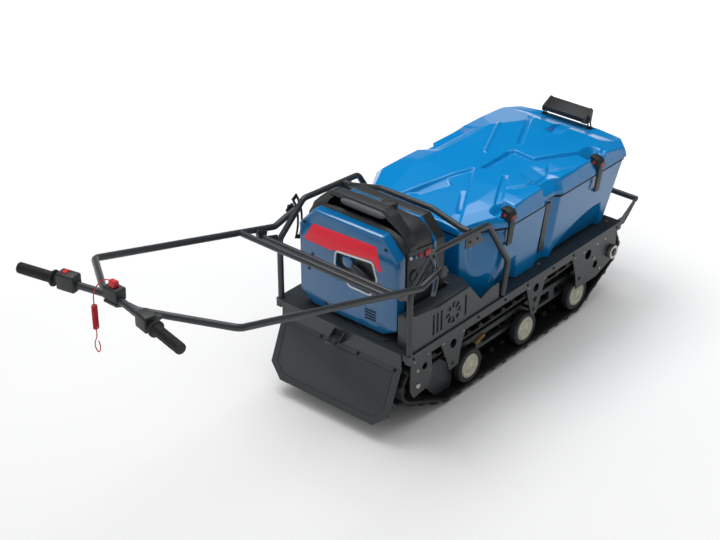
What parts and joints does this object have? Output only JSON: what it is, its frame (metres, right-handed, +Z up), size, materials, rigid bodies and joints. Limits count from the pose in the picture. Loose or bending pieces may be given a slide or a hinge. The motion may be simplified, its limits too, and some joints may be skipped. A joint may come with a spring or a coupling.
{
  "type": "tracked snow tug",
  "caption": "Walk-behind snow tug on a wide rubber track, with a tilting handlebar frame, a caged generator and a lidded cargo box.",
  "frame": {"origin": "middle of the footprint, on the ground under the track", "axes": "+X the way it drives, +Y its left, +Z up"},
  "size_m": [2.2188, 0.6238, 0.843],
  "materials": {
    "track_rubber": "moulded rubber, dusty",
    "powder_coated_steel": "fine-textured black powder coat",
    "zinc_steel": "zinc plated",
    "blue_polyethylene": "moulded polyethylene, satin",
    "blue_shell": "moulded, semi-gloss",
    "black_plastic": "moulded, fine grain",
    "red_plastic": "soft moulded",
    "lamp_alloy": "black die casting"
  },
  "bodies": {
    "chassis": {"track": "track_rubber", "rail_left": "powder_coated_steel", "rail_right": "powder_coated_steel", "deck": "powder_coated_steel", "carriage_left": "powder_coated_steel", "carriage_right": "powder_coated_steel", "wheel_axle_1": "track_rubber", "wheel_axle_2": "track_rubber", "wheel_axle_3": "track_rubber", "idler_axle": "track_rubber", "drive_axle": "powder_coated_steel", "drive_motor": "black_plastic", "cage_left": "powder_coated_steel", "cage_right": "powder_coated_steel", "cage_arch": "powder_coated_steel", "pivot_tube": "powder_coated_steel", "quadrant_left": "powder_coated_steel", "quadrant_right": "powder_coated_steel", "pannier_cover": "black_plastic", "side_plate": "powder_coated_steel", "gen_rear_shell": "blue_shell", "gen_core": "black_plastic", "gen_front_shell": "blue_shell", "gen_handle": "black_plastic", "fuel_cap": "black_plastic", "tray": "powder_coated_steel", "box_body": "blue_polyethylene", "lid_hinge": "powder_coated_steel", "tie_bar_left": "powder_coated_steel", "tie_bar_right": "powder_coated_steel", "bumper": "powder_coated_steel", "flap": "powder_coated_steel", "hitch": "powder_coated_steel"},
    "lid": {"box_lid": "blue_polyethylene", "latch_front": "black_plastic", "latch_rear": "black_plastic", "light_bar": "lamp_alloy"},
    "handle": {"handle_frame": "powder_coated_steel", "handlebar": "powder_coated_steel", "grip_left": "black_plastic", "grip_right": "black_plastic", "kill_switch": "black_plastic", "switch_block": "black_plastic", "throttle_housing": "black_plastic", "throttle_lever": "black_plastic", "slot_bolt_left": "zinc_steel", "slot_bolt_right": "zinc_steel", "lanyard_clip": "red_plastic", "lanyard_lead": "red_plastic", "lanyard_coil": "red_plastic", "lanyard_loop": "red_plastic"}
  },
  "joints": [
    {"name": "handle_tilt", "type": "hinge", "parent": "chassis", "child": "handle", "pos_m": [-0.2056, 0, 0.526], "axis": [0, 1, 0], "range_deg": [-15, 25]},
    {"name": "lid_open", "type": "hinge", "parent": "chassis", "child": "lid", "pos_m": [0.6294, 0.2745, 0.54], "axis": [-1, 0, 0], "range_deg": [0, 100]}
  ]
}
